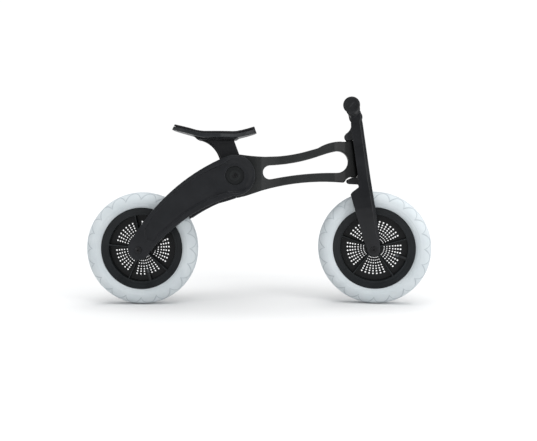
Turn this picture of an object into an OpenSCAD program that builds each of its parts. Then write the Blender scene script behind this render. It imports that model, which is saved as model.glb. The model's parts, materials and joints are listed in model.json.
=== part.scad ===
// Balance bike for a small child: open-slot main frame, two rear arms clamped at a pivot hub,
// a one-piece steering fork on a pin at the frame's head, plastic wheels with air tyres.
// Millimetres. +X is forward, +Y is the rider's left, +Z is up.
// The origin is on the ground, midway between the wheels, on the bike's middle plane.

/* [Wheels] */
// Outside diameter of each tyre
tyre_od = 300; // [296:1:302]
// Width of each tyre
tyre_w = 49; // [46:1:50]
// Distance between the axles with the fork straight ahead
wheelbase = 623; // [618:1:628]
// Outside diameter of the rim's flanges
rim_od = 218; // [214:1:218]
// Number of ribs on each side of a wheel
rib_count = 5; // [3:1:6]
// Turn of the rear wheel, which sets where its ribs stand
rear_rib_angle = 30; // [0:1:71]
// Turn of the front wheel, which sets where its ribs stand
front_rib_angle = 16; // [0:1:71]

/* [Frame] */
// Height of the pivot hub above the ground
hub_height = 344; // [342:1:346]
// Distance of the pivot hub behind the middle of the bike
hub_setback = 59; // [57:1:61]
// Half of the gap between the rear arms, and between the fork's blades
inner_half = 33.3; // [33.3:0.1:34]
// Thickness of each rear arm
arm_thick = 23.7; // [22:0.1:25]
// Width of the frame's two rails
rail_w = 36; // [32:1:40]

/* [Steering] */
// Tilt of the steering axis from upright
rake = 8; // [7.5:0.5:8.5]
// Angle that the fork is turned to the right
steer_angle = 9.5; // [0:0.5:20]
// Overall width across the ends of the grips
bar_w = 370; // [350:2:390]
// Outside diameter of the handlebar tube
bar_od = 22.2; // [22:0.1:22.2]
// Length of each grip
grip_len = 112; // [100:1:120]

/* [Seat] */
// Backward lean of the seat post
post_lean = 20; // [19:0.5:21]
// Width of the seat
seat_w = 126; // [110:1:150]
// Thickness of the foam pad
pad_t = 5; // [3:0.5:5.5]

/* [Bolts] */
// Diameter of both wheel axles and of the hub bolt
axle_d = 8; // [8:1:8]
// Diameter of the steering pin
pin_d = 8; // [8:1:8]
// Radial clearance where one part turns on another
running = 0.05; // [0.02:0.01:0.08]

/* [Hidden] */
$fn = 96;
axle_r = axle_d / 2;
pin_r = pin_d / 2;
bar_r = bar_od / 2;
tyre_r = tyre_od / 2;
rim_r = rim_od / 2;
// The bike's fixed places, each as [x, z]
hub = [-hub_setback, hub_height];
rear_axle_at = [-(wheelbase - 1) / 2, tyre_r];
front_axle_at = [(wheelbase + 1) / 2, tyre_r];
// The foot of the steering axis: local z is 0 there, at the fork's lower lug
steer_foot = [262.7, 330];
// Places in the steering axis's own frame, each as [forward, up]
fork_axle = to_steer(front_axle_at);
bar_at = [22.8, 183.3];
bar_head_r = 16.5;
arm_outer = inner_half + arm_thick;
blade_outer = 50;
// Wheel section
bed_r = 99.5;
flange_y = 15.7;
bead_y = 13.5;
web_t = 3;
rib_t = 3;
rib_y = 11.5;
well_r = 89;
wheel_hub_r = 15;
wheel_hub_y = 17.5;
bearing_r = 11;
bearing_w = 7;
section_r = tyre_r - 125.5;
cavity_r = 19.8;
cavity_at = 125.2;
valve_y = -7;
valve_r = 3.9;
valve_inner = 60;
// Pivot hub
hub_r = 50;
boss_r = 54;
tongue_half = 26.7;
tongue_shift = 1.3;
tongue_t = 24;
socket_gap = 0.3;
cap_r = 24.4;
pocket_depth = 7.5;
pocket_back = 48;
// The cup at the hub's centre, which holds the cap: distance of its floor from the middle plane
cup_floor = 41;
cap_t = 2.5;
bolt_head_r = 7;
bolt_head_t = 3;
dowel_r = 2.5;
dowel_reach = 9;
panel_depth = 4;
// Steering head, along the steering axis
barrel_r = 10.5;
channel_half = 12.5;
barrel_low = 10.5;
barrel_high = 107.5;
lug_top = 8.5;
upper_lug = 109.5;
bush_r = 6.5;
bush_len = 18;
flange_t = 1.6;
pin_head_r = 6.5;
nut_from = 122;
// Handlebar and grips
bar_wall = 1.6;
bar_screw_r = 2.5;
grip_wall = 4;
grip_r = 15.5;
guard_r = 20.2;
guard_edge = 4.2;
// Seat, along z
shell_low = 444.2;
shell_top = 455.2;
plate_t = 4.5;
plate_w = 60;
rear_lean = 0.7;
rear_thinning = 0.25;
nose_lean = 0.38;
head_r = 8;

// ---- helpers ----

// A point of the side view, [x, z], in the steering axis's frame
function to_steer(p) = let (d = p - steer_foot)
    [d[0] * cos(rake) + d[1] * sin(rake), -d[0] * sin(rake) + d[1] * cos(rake)];

// The centre of the circle through three points
function centre3(a, b, c) = let (
    d = 2 * (a[0] * (b[1] - c[1]) + b[0] * (c[1] - a[1]) + c[0] * (a[1] - b[1])),
    sa = a * a, sb = b * b, sc = c * c)
    [(sa * (b[1] - c[1]) + sb * (c[1] - a[1]) + sc * (a[1] - b[1])) / d,
     (sa * (c[0] - b[0]) + sb * (a[0] - c[0]) + sc * (b[0] - a[0])) / d];

// Points along the arc from a through b to c
function arc3(a, b, c, steps = 10) = let (
    m = centre3(a, b, c), r = norm(a - m),
    ta = atan2(a[1] - m[1], a[0] - m[0]),
    tb = atan2(b[1] - m[1], b[0] - m[0]),
    tc = atan2(c[1] - m[1], c[0] - m[0]),
    ccw = (tc - ta + 720) % 360, mid = (tb - ta + 720) % 360,
    sweep = mid < ccw ? ccw : ccw - 360)
    [for (i = [0:steps]) let (t = ta + sweep * i / steps) m + r * [cos(t), sin(t)]];

// Points along an arc about a centre, from angle t0 to t1
function arc(m, r, t0, t1, steps = 12) =
    [for (i = [0:steps]) let (t = t0 + (t1 - t0) * i / steps) m + r * [cos(t), sin(t)]];

// A side outline in x and z, as a slab between two values of y
module slab(y0, y1) {
    translate([0, y1, 0]) rotate([90, 0, 0]) linear_extrude(y1 - y0) children();
}

// A cylinder along y at a place of the side view
module cross_pin(at, r, y0, y1) {
    translate([at[0], y1, at[1]]) rotate([90, 0, 0]) cylinder(h = y1 - y0, r = r);
}

// A hexagon or other prism along y
module cross_hex(at, across, y0, y1) {
    translate([at[0], y1, at[1]]) rotate([90, 0, 0])
        cylinder(h = y1 - y0, r = across / 2 / cos(30), $fn = 6);
}

// The steering axis's frame, straight ahead
module on_steer() {
    translate([steer_foot[0], 0, steer_foot[1]]) rotate([0, -rake, 0]) children();
}

// Anything that turns with the fork, turned about the steering axis
module turned() {
    on_steer() rotate([0, 0, -steer_angle]) children();
}

// The seat post's frame: origin at the hub, z along the post
module on_post() {
    translate([hub[0], 0, hub[1]]) rotate([0, -post_lean, 0]) children();
}

// ---- main frame ----

function frame_top() = concat(
    [[-50, 400.2]],
    arc3([-34, 398.2], [-10, 395.4], [20, 393.7], 6),
    arc3([54, 395], [97, 400.4], [139.6, 410.4]),
    arc3([161, 416.3], [206, 433], [238, 433.6]),
    [[247, 435.8]]);

function frame_low() = concat(
    [[261, 340.9], [252, 339.3]],
    arc3([247, 337.9], [240.5, 334.9], [236.3, 330.5], 4),
    [[233.5, 326]],
    arc3([230, 323.8], [139.6, 325.4], [11.5, 303.6]),
    [[-31, 289.5], [-55, 284], [-57, 300]]);

module frame_slot() {
    polygon(concat(
        arc3([33, 371.5], [100, 378.5], [168, 396.5]),
        [[190, 403.6]],
        arc3([204, 407], [243.7, 378], [212, 350.3]),
        arc3([185, 350.3], [110, 345.6], [37, 334.2]),
        arc3([31, 333.8], [13.7, 352], [29, 371])));
}

// Half of the frame's width along x, seen from above
function frame_plan() = let (side = concat(
        [[-115, 33], [-2, 33]],
        arc3([10, 31.5], [32, 25], [60, rail_w / 2 + 1]),
        [[85, rail_w / 2], [205, rail_w / 2], [235, 10.5], [300, 10.5]]))
    concat(side, [for (i = [len(side) - 1:-1:0]) [side[i][0], -side[i][1]]]);

module mainframe() {
    color([0.17, 0.18, 0.18]) difference() {
        union() {
            intersection() {
                slab(-inner_half, inner_half) union() {
                    polygon(concat(frame_top(), frame_low()));
                    translate(hub) circle(hub_r);
                }
                translate([0, 0, 250]) linear_extrude(250) polygon(frame_plan());
            }
            on_steer() translate([0, 0, barrel_low]) cylinder(h = barrel_high - barrel_low, r = barrel_r);
        }
        slab(-40, 40) frame_slot();
        // socket for the seat post's tongue, right through the hub
        on_post() translate([tongue_shift - tongue_half - socket_gap, -tongue_t / 2 - socket_gap, -70])
            cube([2 * (tongue_half + socket_gap), tongue_t + 2 * socket_gap, 140]);
        cross_pin(hub, axle_r + running, -40, 40);
        on_steer() {
            translate([0, 0, barrel_low - 1]) cylinder(h = 106, r = pin_r + 0.5);
            translate([0, 0, barrel_low - 1]) cylinder(h = bush_len + 1, r = bush_r);
            translate([0, 0, barrel_high - bush_len]) cylinder(h = bush_len + 1, r = bush_r);
            // keeps the rails clear of the upper lug, and of the column ahead of the barrel
            translate([-22, -40, barrel_high]) cube([90, 80, 30]);
            difference() {
                translate([0, -40, 0]) cube([60, 80, 130]);
                cylinder(h = 130, r = barrel_r);
            }
        }
    }
}

module head_bush() {
    difference() {
        union() {
            cylinder(h = bush_len, r = bush_r);
            translate([0, 0, -flange_t]) cylinder(h = flange_t, r = barrel_r - 0.5);
        }
        translate([0, 0, -5]) cylinder(h = bush_len + 10, r = pin_r + running);
    }
}

module head_bushes() {
    color([0.75, 0.74, 0.7]) on_steer() {
        translate([0, 0, barrel_low]) head_bush();
        translate([0, 0, barrel_high]) rotate([180, 0, 0]) head_bush();
    }
}

// ---- rear arms and hub ----

function arm_outline() = concat(
    arc(hub, boss_r, 110, -90, 24),
    arc3([-66, 289], [-118, 269.5], [-181, 235.6]),
    arc3([-197, 224.2], [-238, 190], [-272, 157]),
    arc(rear_axle_at, 27.5, -40, -180, 10),
    arc3([-337.5, 165], [-303, 216], [-264, 264.5]),
    arc3([-248.6, 280.6], [-186, 334.8], [-100, 385.5]));

// The shallow panel in an arm's outer face
function panel_outline() = concat(
    arc(hub, boss_r - 10, 100, -80, 20),
    arc3([-75, 300], [-150, 272], [-215.7, 225.5]),
    arc3([-262, 186], [-277, 171], [-292, 184]),
    arc3([-294, 203], [-264.6, 250], [-197.4, 314]),
    arc3([-170, 334], [-136.3, 353], [-90.4, 373]));

// Its deeper end, round the hub
module arm_pocket() {
    intersection() {
        polygon(panel_outline());
        translate([hub[0] - pocket_back, hub[1] - boss_r]) square([pocket_back + boss_r, 2 * boss_r]);
    }
}

// The right arm: its outer face looks along -y
module arm() {
    difference() {
        slab(-arm_outer, -inner_half) polygon(arm_outline());
        slab(-arm_outer - 1, -arm_outer + panel_depth) polygon(panel_outline());
        slab(-arm_outer - 1, -arm_outer + pocket_depth) arm_pocket();
        cross_pin(hub, cap_r + 0.3, -arm_outer, -cup_floor);
        cross_pin(hub, axle_r, -70, -20);
        cross_pin(rear_axle_at, axle_r, -70, -20);
        for (at = dowel_at()) cross_pin(at, dowel_r, -inner_half - dowel_reach, -20);
    }
}

module rear_arm_right() {
    color([0.2, 0.21, 0.23]) arm();
}

module rear_arm_left() {
    color([0.2, 0.21, 0.23]) mirror([0, 1, 0]) arm();
}

function dowel_at() = [[-156, 256], [-120, 275]];

// Spacer block between the arms, close under the hub
module arm_bridge() {
    color([0.17, 0.18, 0.2]) difference() {
        slab(-inner_half, inner_half) polygon(concat(
            arc3([-181, 227.5], [-140, 252.5], [-104, 269.7]),
            [[-80, 276.3], [-57.7, 283.4], [-57.7, 289.5], [-80, 290], [-104, 284], [-126, 287],
                [-148, 276], [-179, 250]]));
        for (at = dowel_at()) cross_pin(at, dowel_r, -40, 40);
        slab(-21, 21) polygon([[-162, 251], [-140, 263], [-112, 276], [-112, 295], [-182, 295]]);
        // the tyre runs between the block's two rear tips
        cross_pin(rear_axle_at, tyre_r + 8, -tyre_w / 2 - 2, tyre_w / 2 + 2);
    }
}

module bridge_pins() {
    color("silver") for (side = [0, 1], at = dowel_at()) mirror([0, side, 0])
        cross_pin(at, dowel_r, -inner_half - dowel_reach, -inner_half + dowel_reach);
}

module hub_cap() {
    difference() {
        union() {
            cross_pin(hub, cap_r, -cup_floor - cap_t, -cup_floor);
            cross_pin(hub, 2 * bolt_head_r, -cup_floor - cap_t - 1, -cup_floor - cap_t);
        }
        cross_pin(hub, bolt_head_r + 0.4, -cup_floor - cap_t - 2, -cup_floor - 1);
        cross_pin(hub, axle_r, -cup_floor - cap_t, -cup_floor + 1);
    }
}

module hub_cap_right() {
    color([0.22, 0.24, 0.24]) hub_cap();
}

module hub_cap_left() {
    color([0.22, 0.24, 0.24]) mirror([0, 1, 0]) hub_cap();
}

module hub_bolt() {
    color("silver") difference() {
        union() {
            cross_pin(hub, axle_r, -cup_floor - 1, cup_floor + 1 + bolt_head_t);
            cross_pin(hub, bolt_head_r, -cup_floor - 1 - bolt_head_t, -cup_floor - 1);
        }
        cross_hex(hub, 6, -cup_floor - 2 - bolt_head_t, -cup_floor - 2);
    }
}

module hub_nut() {
    color("silver") difference() {
        cross_hex(hub, 12.6, cup_floor + 1, cup_floor + 1 + bolt_head_t);
        cross_pin(hub, axle_r, cup_floor, cup_floor + 2 + bolt_head_t);
    }
}

// ---- seat ----

// Where the post ends below the hub, clear of the bridge
post_foot = -46;
// The flare at the back of the post: an arc that leaves the tongue's rear face
flare_r = 72;
flare_from = 62;

module post_outline() {
    back = tongue_shift - tongue_half;
    difference() {
        translate([-130, post_foot]) square([130 + tongue_shift + tongue_half, 186]);
        translate([back - flare_r, flare_from]) circle(flare_r);
        translate([-131, post_foot - 1]) square([131 + back, flare_from + 1 - post_foot]);
    }
}

module seat_post() {
    color([0.2, 0.21, 0.22]) difference() {
        intersection() {
            on_post() slab(-tongue_t / 2, tongue_t / 2) post_outline();
            translate([-152, -50, 250]) cube([200, 100, shell_low - plate_t - 250]);
        }
        // slot for the hub bolt, which sets how far the post slides
        on_post() {
            slab(-20, 20) translate([-axle_r - 0.3, -36]) square([2 * axle_r + 0.6, 36]);
            cross_pin([0, 0], axle_r + 0.3, -20, 20);
            cross_pin([0, -36], axle_r + 0.3, -20, 20);
        }
        for (at = seat_screw_at()) translate([at[0], at[1], 400]) cylinder(h = 50, r = 2.2);
    }
}

function seat_screw_at() = [[-122, 0], [-74, 0]];

module rounded_bar(x0, x1, w, r) {
    for (x = [x0 + r, x1 - r], y = [-w / 2 + r, w / 2 - r]) translate([x, y]) circle(r);
    translate([x0 + r, -w / 2]) square([x1 - x0 - 2 * r, w]);
    translate([x0, -w / 2 + r]) square([x1 - x0, w - 2 * r]);
}

module seat_plate() {
    color([0.13, 0.13, 0.14]) difference() {
        intersection() {
            translate([0, 0, shell_low - plate_t]) linear_extrude(20) rounded_bar(-175, -51, plate_w, 14);
            slab(-50, 50) polygon(concat(
                [[-159, shell_low - plate_t], [-59.5, shell_low - plate_t], [-51, shell_low]],
                [for (k = [len(seat_rear()) - 1:-1:0]) seat_rear()[k]]));
        }
        for (at = seat_screw_at()) translate([at[0], at[1], 400]) cylinder(h = 80, r = 2.5);
    }
}

// Side line of the seat's underside, from the rear tip to the front tip
function seat_low() = concat(
    [[-228.5, 466.7], [-190, 456.5]],
    seat_rear(),
    [[-64, shell_low]],
    arc3([-54, 445], [-40, 448], [-24, 451.6], 6),
    [[-2, 457.7]]);

// Its stretch over the plate, up to where it becomes flat
function seat_rear() = concat(arc3([-172, 451.5], [-158, 447.3], [-148, 445.3], 6), [[-138, shell_low]]);

// The same line, raised: both tips lean in, and the rear one is thinner
function seat_line(rise) = [for (p = seat_low()) let (
    tip = max(0, (-150 - p[0]) / 78), nose = max(0, (p[0] + 40) / 36))
    p + [(tip * rear_lean - nose * nose_lean) * rise, rise * (1 - rear_thinning * tip)]];

module seat_plan() {
    half = seat_w / 2;
    polygon(concat(
        arc3([-162, half], [-216, half * 0.68], [-229, 0], 12),
        arc3([-229, 0], [-216, -half * 0.68], [-162, -half], 12),
        arc3([-95, -half * 0.9], [-60, -half * 0.62], [-30, -half * 0.46], 8),
        arc3([-9, -half * 0.32], [-1.5, 0], [-9, half * 0.32], 8),
        arc3([-30, half * 0.46], [-60, half * 0.62], [-95, half * 0.9], 8)));
}

module seat_layer(low, high) {
    intersection() {
        slab(-seat_w, seat_w) polygon(concat(low, [for (i = [len(high) - 1:-1:0]) high[i]]));
        translate([0, 0, 400]) linear_extrude(100) seat_plan();
    }
}

module seat_shell() {
    color([0.27, 0.29, 0.3]) difference() {
        seat_layer(seat_low(), seat_line(shell_top - shell_low));
        for (at = seat_screw_at()) translate([at[0], at[1], 400]) {
            cylinder(h = 80, r = 2.5);
            translate([0, 0, shell_top - 400 - 4]) cylinder(h = 20, r = 5);
        }
    }
}

module seat_pad() {
    color([0.1, 0.1, 0.11])
        seat_layer(seat_line(shell_top - shell_low), seat_line(shell_top - shell_low + pad_t));
}

module seat_screws() {
    color("silver") for (at = seat_screw_at()) translate([at[0], at[1], 0]) difference() {
        union() {
            translate([0, 0, shell_top - 30]) cylinder(h = 26, r = 2.2);
            translate([0, 0, shell_top - 4]) cylinder(h = 3.5, r = 4.6);
        }
        translate([0, 0, shell_top - 3]) cylinder(h = 5, r = 1.8, $fn = 6);
    }
}

// ---- fork ----

// Side outline of the fork without its lugs, in the steering axis's frame
module fork_side() {
    polygon(concat(
        [bar_at, [39.2, 181], [41, 164], [41.7, 150], [41.6, 112], [41.3, 0]],
        arc3([41.9, -30], [43, -95], [41.8, -165]),
        arc(fork_axle, 16.3, 5, -110, 10),
        arc(fork_axle, 16.3, -120, -170, 4),
        [[0.5, -153], [-6.4, -100]],
        arc3([-15.5, -38], [-15.7, -34.5], [-13, -31], 4),
        arc3([3, -22], [7.5, -17.5], [6.5, -12], 6),
        [[9.8, -8], [10, 112], [10.3, 150], [12.7, 163.6], [13.5, 172]]));
    translate(bar_at) circle(bar_head_r);
}

// Half of the fork's width along its height, seen from the front
function fork_front() = let (side = concat(
        [[18, 205], [18, 175]],
        arc3([18.5, 150], [27, 50], [45, -45]),
        [[49, -75], [blade_outer, -100], [blade_outer, -230]]))
    concat([for (p = side) [p[0], p[1]]], [for (i = [len(side) - 1:-1:0]) [-side[i][0], side[i][1]]]);

module fork_lugs() {
    // lower lug, under the frame's head
    intersection() {
        slab(-14, 14) polygon(concat(
            [[-8, lug_top], [12, lug_top], [12, -14], [5, -11.8], [-18, -7.5]],
            arc3([-22, -5.5], [-24.5, -0.5], [-21.5, 4.5], 6)));
        translate([0, 0, -20]) linear_extrude(60) union() {
            translate([-12.5, 0]) circle(12);
            translate([-12.5, -12]) square([30, 24]);
        }
    }
    // upper lug, over the head, with its sloping gusset
    intersection() {
        slab(-14, 14) polygon(concat(
            [[-10.3, upper_lug], [20, upper_lug], [20, 152]],
            arc3([10.8, 151], [7.3, 138.5], [0, 131], 6),
            [[-9.5, 124.6]],
            arc3([-11.6, 122.5], [-12.8, 118.6], [-11.8, 112.5], 4)));
        translate([0, 0, upper_lug - 5]) linear_extrude(60) union() {
            circle(12.9);
            translate([0, -12.9]) square([30, 25.8]);
        }
    }
}

module fork_body() {
    difference() {
        union() {
            intersection() {
                slab(-60, 60) fork_side();
                translate([-40, 0, 0]) rotate([90, 0, 90]) linear_extrude(120) polygon(fork_front());
            }
            fork_lugs();
        }
        // room for the tyre, between the blades and under the crown
        intersection() {
            slab(-inner_half, inner_half) polygon(concat(
                arc(fork_axle, tyre_r + 9, 60, 130, 12), [[-60, -260], [90, -260]]));
            translate([-60, -inner_half, -260]) cube([180, 2 * inner_half, 400]);
        }
        // channel for the frame's head, open to the rear between the lugs
        translate([-60, -channel_half, lug_top]) cube([60, 2 * channel_half, upper_lug - lug_top]);
        translate([0, 0, lug_top]) cylinder(h = upper_lug - lug_top, r = channel_half);
        cross_pin(bar_at, bar_r, -40, 40);
        for (side = [-1, 1]) cross_pin(fork_axle, axle_r, side * 42 - 20, side * 42 + 20);
        translate([0, 0, -13]) cylinder(h = 143, r = pin_r);
        translate([0, 0, -13]) cylinder(h = 9, r = pin_head_r + 0.2);
        // nut pocket in the upper lug
        translate([0, 0, nut_from]) cylinder(h = 30, r = 7.7);
    }
}

module fork() {
    color([0.19, 0.2, 0.21]) difference() {
        turned() fork_body();
        on_bar_screw() cylinder(h = 20, r = bar_screw_r);
    }
}

module steering_pin() {
    color("silver") turned() difference() {
        union() {
            translate([0, 0, -4]) cylinder(h = nut_from + 11, r = pin_r);
            translate([0, 0, -8]) cylinder(h = 4, r = pin_head_r);
        }
        translate([0, 0, -9]) cylinder(h = 4, r = 2.9, $fn = 6);
    }
}

module steering_nut() {
    color("silver") turned() difference() {
        translate([0, 0, nut_from]) cylinder(h = 6.5, r = 7.5, $fn = 6);
        translate([0, 0, nut_from - 5]) cylinder(h = 20, r = pin_r);
    }
}

module handlebar() {
    color([0.3, 0.31, 0.32]) difference() {
        turned() difference() {
            cross_pin(bar_at, bar_r, -bar_w / 2 + grip_wall, bar_w / 2 - grip_wall);
            cross_pin(bar_at, bar_r - bar_wall, -bar_w, bar_w);
        }
        on_bar_screw() cylinder(h = 20, r = bar_screw_r);
    }
}

// Along the grub screw that pins the bar: origin at the bar's centre, z down and back
module on_bar_screw() {
    turned() translate([bar_at[0], 0, bar_at[1]]) rotate([0, 225, 0]) children();
}

module bar_screw() {
    color("silver") on_bar_screw() difference() {
        translate([0, 0, bar_r - 3]) cylinder(h = 5.8, r = bar_screw_r);
        translate([0, 0, bar_r + 0.5]) cylinder(h = 4, r = 1.4, $fn = 6);
    }
}

// Profile of a grip: radius against the distance from its inner end
module grip_profile() {
    difference() {
        union() {
            square([grip_r, grip_len]);
            square([grip_r + 2.5, 4]);
            translate([0, grip_len - 2 * guard_edge]) square([guard_r - guard_edge, 2 * guard_edge]);
            translate([guard_r - guard_edge, grip_len - guard_edge]) circle(guard_edge);
        }
        translate([-1, -1]) square([bar_r + 1, grip_len - grip_wall + 1]);
    }
}

module grip() {
    translate([bar_at[0], -bar_w / 2 + grip_len, bar_at[1]]) rotate([90, 0, 0])
        rotate_extrude() grip_profile();
}

module grip_right() {
    color([0.12, 0.12, 0.13]) turned() grip();
}

module grip_left() {
    color([0.12, 0.12, 0.13]) turned() mirror([0, 1, 0]) grip();
}

// ---- wheels: each module draws its piece about the wheel's own centre, with the axle along y ----

module spun(spin) {
    rotate([90, 0, 0]) rotate([0, 0, spin]) rotate_extrude() children();
}

module rim_piece(spin, valve) {
    difference() {
        union() {
            spun(0) {
                polygon([[well_r + 2, -12], [rim_r - 5, -flange_y], [rim_r, -flange_y + 1],
                    [rim_r, -bead_y - 0.2], [bed_r + 2, -bead_y], [bed_r, -bead_y + 4],
                    [bed_r, bead_y - 4], [bed_r + 2, bead_y], [rim_r, bead_y + 0.2],
                    [rim_r, flange_y - 1], [rim_r - 5, flange_y], [well_r + 2, 12],
                    [well_r, 11], [well_r, -11]]);
                translate([wheel_hub_r - 1, -web_t / 2]) square([well_r - wheel_hub_r + 2, web_t]);
                translate([6, -wheel_hub_y]) square([wheel_hub_r - 6, 2 * wheel_hub_y]);
            }
            rotate([90, 0, 0]) for (k = [0:rib_count - 1]) rotate([0, 0, spin + k * 360 / rib_count])
                translate([wheel_hub_r - 1, -rib_t / 2, -rib_y])
                    cube([well_r - wheel_hub_r + 2, rib_t, 2 * rib_y]);
        }
        for (side = [0, 1]) mirror([0, side, 0])
            cross_pin([0, 0], bearing_r, -wheel_hub_y - 1, -wheel_hub_y + bearing_w);
        rotate([90, 0, 0]) rotate([0, 0, valve]) translate([70, 0, -valve_y]) rotate([0, 90, 0])
            cylinder(h = 60, r = valve_r);
    }
}

module tyre_piece(valve) {
    difference() {
        tyre_ring();
        // where the valve comes through the bead
        rotate([90, 0, 0]) rotate([0, 0, valve]) translate([90, 0, -valve_y]) rotate([0, 90, 0])
            cylinder(h = 24, r = valve_r + 0.1);
    }
}

module tyre_ring() {
    spun(0) difference() {
        union() {
            translate([tyre_r - section_r, 0]) circle(section_r);
            translate([bed_r + 2.3, -bead_y + 0.1]) square([12, 2 * bead_y - 0.2]);
        }
        translate([cavity_at, 0]) circle(cavity_r);
        translate([90, -9]) square([20, 18]);
        for (side = [-1, 1]) translate([80, side * (bead_y + 10) - 10 + side * -0.1])
            square([rim_r - 80 + 0.2, 20]);
    }
}

module tube_piece(valve) {
    difference() {
        spun(0) difference() {
            translate([cavity_at, 0]) circle(cavity_r - 0.7);
            translate([cavity_at, 0]) circle(cavity_r - 2.2);
        }
        rotate([90, 0, 0]) rotate([0, 0, valve]) translate([95, 0, -valve_y]) rotate([0, 90, 0])
            cylinder(h = 20, r = valve_r);
    }
}

module valve_piece(valve) {
    rotate([90, 0, 0]) rotate([0, 0, valve]) translate([valve_inner, 0, -valve_y]) rotate([0, 90, 0])
        difference() {
            union() {
                translate([0, 0, 8]) cylinder(h = 40, r = valve_r);
                cylinder(h = 8, r = 2.6);
            }
            translate([0, 0, -1]) cylinder(h = 60, r = 1.2);
        }
}

module valve_cap_piece(valve) {
    rotate([90, 0, 0]) rotate([0, 0, valve]) translate([valve_inner - 2, 0, -valve_y]) rotate([0, 90, 0])
        difference() {
            cylinder(h = 9.7, r = 3.7);
            translate([0, 0, 2]) cylinder(h = 10, r = 2.6);
        }
}

module bearings_piece() {
    for (side = [0, 1]) mirror([0, side, 0]) difference() {
        cross_pin([0, 0], bearing_r, -wheel_hub_y, -wheel_hub_y + bearing_w);
        cross_pin([0, 0], axle_r + running, -wheel_hub_y - 1, -wheel_hub_y + bearing_w + 1);
    }
}

module spacers_piece() {
    for (side = [0, 1]) mirror([0, side, 0]) difference() {
        cross_pin([0, 0], 6.5, -inner_half, -wheel_hub_y - 0.3);
        cross_pin([0, 0], axle_r, -inner_half - 1, -wheel_hub_y + 1);
    }
}

// A bolt whose head is against the right side, threaded into a sleeve nut on the left
module axle_piece(outer) {
    difference() {
        union() {
            cross_pin([0, 0], axle_r, -outer, outer);
            cross_pin([0, 0], head_r, -outer - 4, -outer);
        }
        cross_hex([0, 0], 5, -outer - 5, -outer - 1);
    }
}

module axle_nut_piece(outer) {
    difference() {
        cross_pin([0, 0], head_r, outer, outer + 4);
        cross_hex([0, 0], 5, outer + 1, outer + 5);
    }
}

module at_rear() {
    translate([rear_axle_at[0], 0, rear_axle_at[1]]) children();
}

module at_front() {
    turned() translate([fork_axle[0], 0, fork_axle[1]]) rotate([0, rake, 0]) children();
}

rear_valve_at = -76;
front_valve_at = -18.4;

module rear_axle() { color("silver") at_rear() axle_piece(arm_outer); }
module rear_axle_nut() { color("silver") at_rear() axle_nut_piece(arm_outer); }
module rear_spacers() { color("silver") at_rear() spacers_piece(); }
module rear_rim() { color([0.16, 0.18, 0.19]) at_rear() rim_piece(rear_rib_angle, rear_valve_at); }
module rear_tyre() { color([0.8, 0.83, 0.85]) at_rear() tyre_piece(rear_valve_at); }
module rear_tube() { color([0.1, 0.1, 0.1]) at_rear() tube_piece(rear_valve_at); }
module rear_valve() { color([0.15, 0.15, 0.15]) at_rear() valve_piece(rear_valve_at); }
module rear_valve_cap() { color([0.05, 0.05, 0.05]) at_rear() valve_cap_piece(rear_valve_at); }
module rear_bearings() { color("silver") at_rear() bearings_piece(); }
module front_axle() { color("silver") at_front() axle_piece(blade_outer); }
module front_axle_nut() { color("silver") at_front() axle_nut_piece(blade_outer); }
module front_spacers() { color("silver") at_front() spacers_piece(); }
module front_rim() { color([0.16, 0.18, 0.19]) at_front() rim_piece(front_rib_angle, front_valve_at); }
module front_tyre() { color([0.8, 0.83, 0.85]) at_front() tyre_piece(front_valve_at); }
module front_tube() { color([0.1, 0.1, 0.1]) at_front() tube_piece(front_valve_at); }
module front_valve() { color([0.15, 0.15, 0.15]) at_front() valve_piece(front_valve_at); }
module front_valve_cap() { color([0.05, 0.05, 0.05]) at_front() valve_cap_piece(front_valve_at); }
module front_bearings() { color("silver") at_front() bearings_piece(); }

mainframe();
head_bushes();
rear_arm_right();
rear_arm_left();
arm_bridge();
bridge_pins();
hub_bolt();
hub_nut();
hub_cap_right();
hub_cap_left();
seat_post();
seat_plate();
seat_shell();
seat_pad();
seat_screws();
fork();
steering_pin();
steering_nut();
handlebar();
bar_screw();
grip_right();
grip_left();
rear_axle();
rear_axle_nut();
rear_spacers();
rear_rim();
rear_tyre();
rear_tube();
rear_valve();
rear_valve_cap();
rear_bearings();
front_axle();
front_axle_nut();
front_spacers();
front_rim();
front_tyre();
front_tube();
front_valve();
front_valve_cap();
front_bearings();
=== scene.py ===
# Balance bike: the looks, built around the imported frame.
# Metres, in the frame's own axes: +X forwards, +Y to the rider's left, +Z up.
import json
import math

import bmesh
import bpy
import numpy as np
from mathutils import Matrix, Vector


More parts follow.
